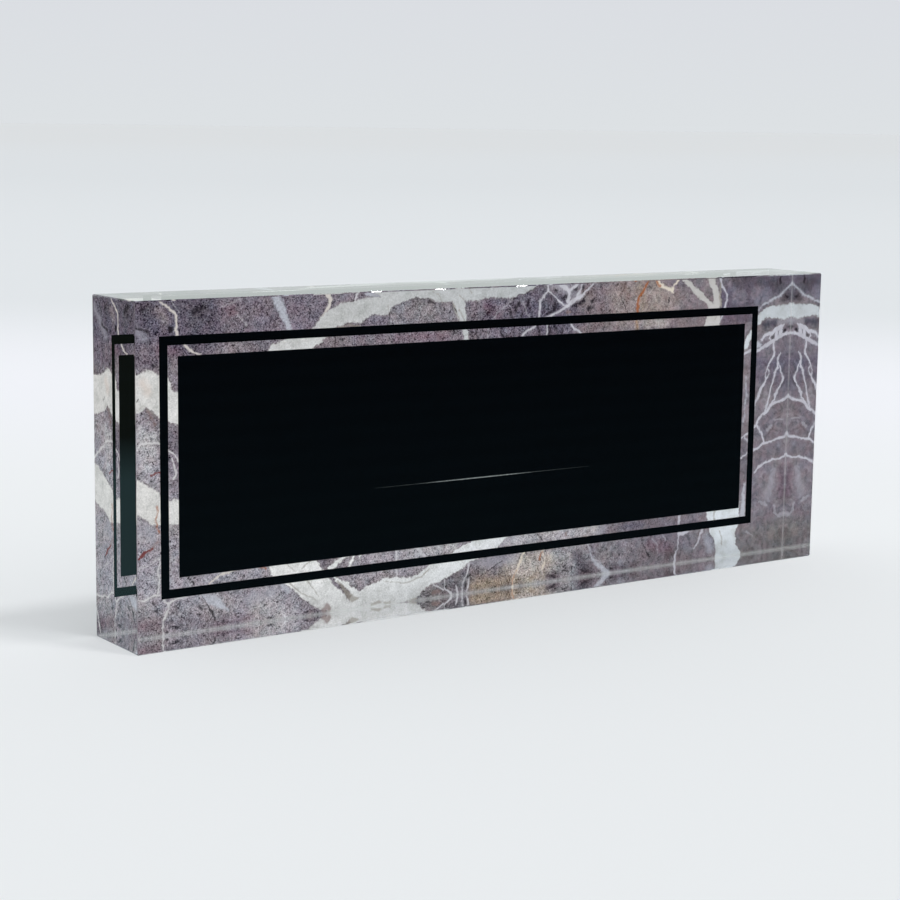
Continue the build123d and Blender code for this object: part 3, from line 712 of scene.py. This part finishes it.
def clear_cast_acrylic():
    """Cast acrylic, polished on every face: a trace of green in it and a slow polishing ripple on its skin.

    Lamps shine through it onto the print, but only partly through it onto the desk.
    """
    material, tree, place = new_material("clear_cast_acrylic")
    ripple = add_node(tree, "ShaderNodeTexNoise", {"Vector": place, "Scale": 1 / 14.0, "Detail": 2.0})["Fac"]
    bump = add_node(tree, "ShaderNodeBump", {"Height": ripple, "Strength": 0.02, "Distance": 0.02 * MM})[0]
    shader = add_node(tree, "ShaderNodeBsdfPrincipled", {
        "Base Color": linear("FBFEFC"),
        "Roughness": 0.0,
        "IOR": 1.49,
        "Transmission Weight": 1.0,
        "Normal": bump,
    })[0]
    outward = add_node(tree, "ShaderNodeNewGeometry")["Backfacing"]
    passed = add_node(tree, "ShaderNodeMix", {0: outward, 6: linear("8C8F90"), 7: linear("FFFFFF")},
                      data_type="RGBA")[2]
    clear = add_node(tree, "ShaderNodeBsdfTransparent", {"Color": passed})[0]
    lamp_path = add_node(tree, "ShaderNodeLightPath")["Is Shadow Ray"]
    surface = add_node(tree, "ShaderNodeMixShader", {0: lamp_path, 1: shader, 2: clear})[0]
    add_node(tree, "ShaderNodeOutputMaterial", {"Surface": surface})
    return material


def black_ink():
    """Black UV ink, near black with the faint swaths of the print head and a fine droplet grain."""
    material, tree, place = new_material("black_uv_ink")
    swaths = add_node(tree, "ShaderNodeTexWave", {
        "Vector": place, "Scale": WAVE_LENGTH / SWATH_SPACING, "Distortion": 0.6, "Detail": 1.0,
    }, bands_direction="Z")["Fac"]
    droplets = add_node(tree, "ShaderNodeTexNoise", {
        "Vector": place, "Scale": 1 / 0.25, "Detail": 2.0,
    })["Fac"]
    level = add_node(tree, "ShaderNodeMath", {0: swaths, 1: 0.3, 2: droplets}, operation="MULTIPLY_ADD")[0]
    colour = add_node(tree, "ShaderNodeMix", {0: level, 6: linear("020305"), 7: linear("04070A")},
                      data_type="RGBA")[2]
    shader = add_node(tree, "ShaderNodeBsdfPrincipled", {
        "Base Color": colour, "Roughness": 0.5, "Specular IOR Level": 0.0,
    })[0]
    add_node(tree, "ShaderNodeOutputMaterial", {"Surface": shader})
    return material


def rule_ink():
    """Pale ink of the divider rule, laid on thinner and thinner towards its tips, over the black."""
    material, tree, place = new_material("pale_uv_ink")
    axes = add_node(tree, "ShaderNodeSeparateXYZ", {0: place})
    from_middle = add_node(tree, "ShaderNodeMath", {0: axes["X"], 1: RULE_BRIGHTEST}, operation="SUBTRACT")[0]
    from_middle = add_node(tree, "ShaderNodeMath", {0: from_middle}, operation="ABSOLUTE")[0]
    laid = add_node(tree, "ShaderNodeMapRange", {
        "Value": from_middle, "From Min": 19.0, "From Max": 8.0, "To Min": 0.13,
    }, interpolation_type="SMOOTHSTEP")[0]
    tips = add_node(tree, "ShaderNodeMapRange", {
        "Value": from_middle, "From Min": 22.0, "From Max": 32.0, "To Min": 1.0, "To Max": 0.6,
    })[0]
    laid = add_node(tree, "ShaderNodeMath", {0: laid, 1: tips}, operation="MULTIPLY")[0]
    droplets = add_node(tree, "ShaderNodeTexNoise", {"Vector": place, "Scale": 1 / 0.4, "Detail": 2.0})["Fac"]
    laid = add_node(tree, "ShaderNodeMath", {0: laid, 1: droplets}, operation="MULTIPLY")[0]
    laid = add_node(tree, "ShaderNodeMath", {0: laid, 1: 1.2}, operation="MULTIPLY")[0]
    colour = add_node(tree, "ShaderNodeMix", {0: laid, 6: linear("0C1112"), 7: linear("A2A8A8")},
                      data_type="RGBA")[2]
    shader = add_node(tree, "ShaderNodeBsdfPrincipled", {
        "Base Color": colour, "Roughness": 0.5, "Specular IOR Level": 0.0,
    })[0]
    add_node(tree, "ShaderNodeOutputMaterial", {"Surface": shader})
    return material


def white_ink():
    """White flood coat: chalky white, a little uneven where the droplets ran together."""
    material, tree, place = new_material("white_uv_ink")
    droplets = add_node(tree, "ShaderNodeTexNoise", {"Vector": place, "Scale": 1 / 0.5, "Detail": 4.0})["Fac"]
    colour = add_node(tree, "ShaderNodeMix", {0: droplets, 6: linear("DEDED9"), 7: linear("F2F2EE")},
                      data_type="RGBA")[2]
    bump = add_node(tree, "ShaderNodeBump", {"Height": droplets, "Strength": 0.4, "Distance": 0.02 * MM})[0]
    shader = add_node(tree, "ShaderNodeBsdfPrincipled", {
        "Base Color": colour, "Roughness": 0.55, "Normal": bump,
    })[0]
    add_node(tree, "ShaderNodeOutputMaterial", {"Surface": shader})
    return material


def acrylic_adhesive():
    """Pressure-sensitive adhesive: a soft cream film, cloudy with tiny bubbles."""
    material, tree, place = new_material("acrylic_adhesive")
    bubbles = add_node(tree, "ShaderNodeTexVoronoi", {"Vector": place, "Scale": 1 / 0.3})["Distance"]
    colour = fade(tree, bubbles, 0.15, 0.3, linear("D2D0C4"), linear("E4E2D6"))
    shader = add_node(tree, "ShaderNodeBsdfPrincipled", {"Base Color": colour, "Roughness": 0.4})[0]
    add_node(tree, "ShaderNodeOutputMaterial", {"Surface": shader})
    return material


def satin_vinyl():
    """Satin white vinyl film: orange peel of about 1 mm, and rubbed patches that shine a little more."""
    material, tree, place = new_material("satin_white_vinyl")
    peel = add_node(tree, "ShaderNodeTexNoise", {"Vector": place, "Scale": 1 / 0.9, "Detail": 2.0})["Fac"]
    bump = add_node(tree, "ShaderNodeBump", {"Height": peel, "Strength": 0.35, "Distance": 0.05 * MM})[0]
    rubbed = add_node(tree, "ShaderNodeTexNoise", {
        "Vector": place, "Scale": 1 / 18.0, "Detail": 4.0, "Roughness": 0.6,
    })["Fac"]
    roughness = add_node(tree, "ShaderNodeMapRange", {
        "Value": rubbed, "From Min": 0.3, "From Max": 0.7, "To Min": 0.34, "To Max": 0.5,
    })[0]
    colour = add_node(tree, "ShaderNodeMix", {0: rubbed, 6: linear("DFDFDD"), 7: linear("E9E9E7")},
                      data_type="RGBA")[2]
    shader = add_node(tree, "ShaderNodeBsdfPrincipled", {
        "Base Color": colour, "Roughness": roughness, "Normal": bump,
    })[0]
    add_node(tree, "ShaderNodeOutputMaterial", {"Surface": shader})
    return material


def white_sweep(view_along):
    """Matt white paper sweep with a faint fibre.

    Painted light makes it brightest just behind the plate, and painted shade makes it greyer far off.
    """
    material, tree, place = new_material("matt_white_sweep")
    along = add_node(tree, "ShaderNodeVectorMath", {0: place, 1: view_along * MM},
                     operation="DOT_PRODUCT")["Value"]
    colour = linear(FLOOR_NEAREST_TONE)
    # Painted light and shade: the floor's tone changes with the distance along the view
    for near, far, tone in FLOOR_PAINTED_TONES:
        colour = fade(tree, along, near, far, colour, linear(tone), curve="SMOOTHSTEP")
    fibres = add_node(tree, "ShaderNodeTexNoise", {"Vector": place, "Scale": 1 / 0.6, "Detail": 4.0})["Fac"]
    bump = add_node(tree, "ShaderNodeBump", {"Height": fibres, "Strength": 0.1, "Distance": 0.05 * MM})[0]
    shader = add_node(tree, "ShaderNodeBsdfPrincipled", {
        "Base Color": colour,
        "Roughness": 0.9,
        "Specular IOR Level": 0.0,
        "Normal": bump,
    })[0]
    add_node(tree, "ShaderNodeOutputMaterial", {"Surface": shader})
    return material


def polished_block():
    """Block with narrow flat bevels on all edges but those around its back.

    The two upright bevels are shaded as rounded. The back sinks into the ink, so that no film of air is left
    between them.
    """
    low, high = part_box("acrylic_block")
    high.y += SINK_INTO_INK
    shape = bmesh.new()
    bmesh.ops.create_cube(shape, size=1.0)
    size = high - low
    middle = (low + high) / 2
    bmesh.ops.transform(
        shape,
        matrix=Matrix.Translation(middle) @ Matrix.Diagonal(size).to_4x4(),
        verts=shape.verts,
    )
    through = [edge for edge in shape.edges if abs(edge.verts[0].co.y - edge.verts[1].co.y) > size.y / 2]
    bmesh.ops.bevel(shape, geom=through, offset=EDGE_BEVEL, segments=1, affect="EDGES")
    around_front = [edge for edge in shape.edges if max(v.co.y for v in edge.verts) < middle.y]
    bmesh.ops.bevel(shape, geom=around_front, offset=EDGE_BEVEL, segments=1, affect="EDGES")
    bmesh.ops.recalc_face_normals(shape, faces=shape.faces)
    corner_normals = []
    for face in shape.faces:
        face.smooth = abs(face.normal.z) < 0.01 and 0.1 < abs(face.normal.x) < 0.9
        for vertex in face.verts:
            flat = [other.normal for other in vertex.link_faces if max(abs(n) for n in other.normal) > 0.99]
            corner_normals.append((flat[0] if face.smooth and flat else face.normal).copy())
    mesh = bpy.data.meshes.new("acrylic_block_polished")
    shape.to_mesh(mesh)
    shape.free()
    mesh.normals_split_custom_set(corner_normals)
    return mesh


def add_object(name, data):
    """Object at the origin, linked to the scene."""
    thing = bpy.data.objects.new(name, data)
    bpy.context.scene.collection.objects.link(thing)
    return thing


block = add_object("acrylic_block_polished", polished_block())
block.data.materials.append(clear_cast_acrylic())
block.visible_diffuse = False
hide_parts("acrylic_block")
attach(block, "root")

black = black_ink()
marble = marble_ink()
finishes = {
    "marble_border": marble,
    "marble_band": marble,
    "frame_line": black,
    "name_panel": black,
    "divider_rule": rule_ink(),
    "white_flood": white_ink(),
    "cover_adhesive": acrylic_adhesive(),
    "back_cover": satin_vinyl(),
}
for node, finish in finishes.items():
    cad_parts[node].data.materials.clear()
    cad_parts[node].data.materials.append(finish)

# Camera
low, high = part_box("acrylic_block")
aim = (low + high) / 2
back_dir = Vector((
    math.sin(CAMERA_AZIMUTH) * math.cos(CAMERA_ELEVATION),
    -math.cos(CAMERA_AZIMUTH) * math.cos(CAMERA_ELEVATION),
    math.sin(CAMERA_ELEVATION),
))
level = Vector((0, 0, 1)).cross(back_dir).normalized()
upright = back_dir.cross(level)
right = level * math.cos(CAMERA_ROLL) + upright * math.sin(CAMERA_ROLL)
up = upright * math.cos(CAMERA_ROLL) - level * math.sin(CAMERA_ROLL)
camera_place = aim + back_dir * CAMERA_DISTANCE + right * CAMERA_SLIDE_RIGHT + up * CAMERA_SLIDE_UP
camera_data = bpy.data.cameras.new("photo_camera")
camera_data.lens = CAMERA_LENS
camera_data.clip_start = CAMERA_CLIP_START
camera = add_object("photo_camera", camera_data)
turn = Matrix((right, up, back_dir)).transposed().to_4x4()
camera.matrix_world = Matrix.Translation(camera_place) @ turn
bpy.context.scene.camera = camera
bpy.context.scene.view_settings.view_transform = "Standard"

# Floor
floor_mesh = bpy.data.meshes.new("studio_floor")
floor_mesh.from_pydata(
    [(x * FLOOR_REACH, y * FLOOR_REACH, -FLOOR_DROP) for x, y in ((-1, -1), (1, -1), (1, 1), (-1, 1))],
    [],
    [(0, 1, 2, 3)],
)
floor = add_object("studio_floor", floor_mesh)
floor.data.materials.append(white_sweep(Vector((-back_dir.x, -back_dir.y, 0)).normalized()))
floor.visible_glossy = False

# Surroundings: a dome that lights the plate, a pale backdrop for the camera, and what polished faces mirror.
# That is dark in front, and behind the plate pale above and dark below
world = bpy.data.worlds.new("studio_world")
bpy.context.scene.world = world
world.use_nodes = True
studio = world.node_tree
studio.nodes.clear()
path = add_node(studio, "ShaderNodeLightPath")
direction = add_node(studio, "ShaderNodeTexCoord")["Generated"]
axes = add_node(studio, "ShaderNodeSeparateXYZ", {0: direction})
front = fade(studio, axes["Z"], -0.09, -0.24, linear("101216"), linear("31454A"))
low_rear = fade(studio, axes["Z"], -0.15, -0.17, linear("2F362A"), linear("638588"))
rear = fade(studio, axes["Z"], -0.02, 0.02, low_rear, linear("E2EAE8"))
mirrored = fade(studio, axes["Y"], -0.1, 0.3, front, rear)
lit = add_node(studio, "ShaderNodeMix", {0: path["Is Glossy Ray"], 6: linear("C8CACC"), 7: mirrored},
               data_type="RGBA")[2]
backdrop = fade(studio, axes["Z"], 0.0, 0.06, linear("DDE1E4"), linear("DBDEE3"))
looked_at = add_node(studio, "ShaderNodeMath", {0: path["Is Camera Ray"], 1: path["Is Transmission Ray"]},
                     operation="MAXIMUM")[0]
seen = add_node(studio, "ShaderNodeMix", {0: looked_at, 6: lit, 7: backdrop}, data_type="RGBA")[2]
background = add_node(studio, "ShaderNodeBackground", {"Color": seen})[0]
add_node(studio, "ShaderNodeOutputWorld", {"Surface": background})

# Lamps: a broad fill in front that casts no shadow, a narrower one that does, and three small strips. These
# only show as glints, each where the bevel along the top of the front mirrors it to the camera
for name, energy, spread, towards, shadow in SUNS:
    sun_data = bpy.data.lights.new(name, "SUN")
    sun_data.energy = energy
    sun_data.angle = math.radians(spread)
    sun_data.use_shadow = shadow
    sun = add_object(name, sun_data)
    sun.rotation_euler = Vector(towards).to_track_quat("Z", "Y").to_euler()
    sun.visible_glossy = False
    sun.visible_transmission = False
bevel_facing = Vector((0, -1, 1)).normalized()
for number, edge_x in enumerate(GLINTS, 1):
    glint = Vector((edge_x * MM, low.y, high.z))
    towards = -(camera_place - glint).normalized().reflect(bevel_facing)
    across = towards.cross(Vector((1, 0, 0))).normalized()
    strip_data = bpy.data.lights.new(f"strip_lamp_{number}", "AREA")
    strip_data.shape = "RECTANGLE"
    strip_data.size = STRIP_WIDTH
    strip_data.size_y = STRIP_HEIGHT
    strip_data.energy = STRIP_ENERGY
    strip = add_object(f"strip_lamp_{number}", strip_data)
    turn = Matrix((across.cross(towards), across, towards)).transposed().to_4x4()
    strip.matrix_world = Matrix.Translation(glint + towards * STRIP_DISTANCE) @ turn
    strip.visible_diffuse = False
    strip.visible_transmission = False
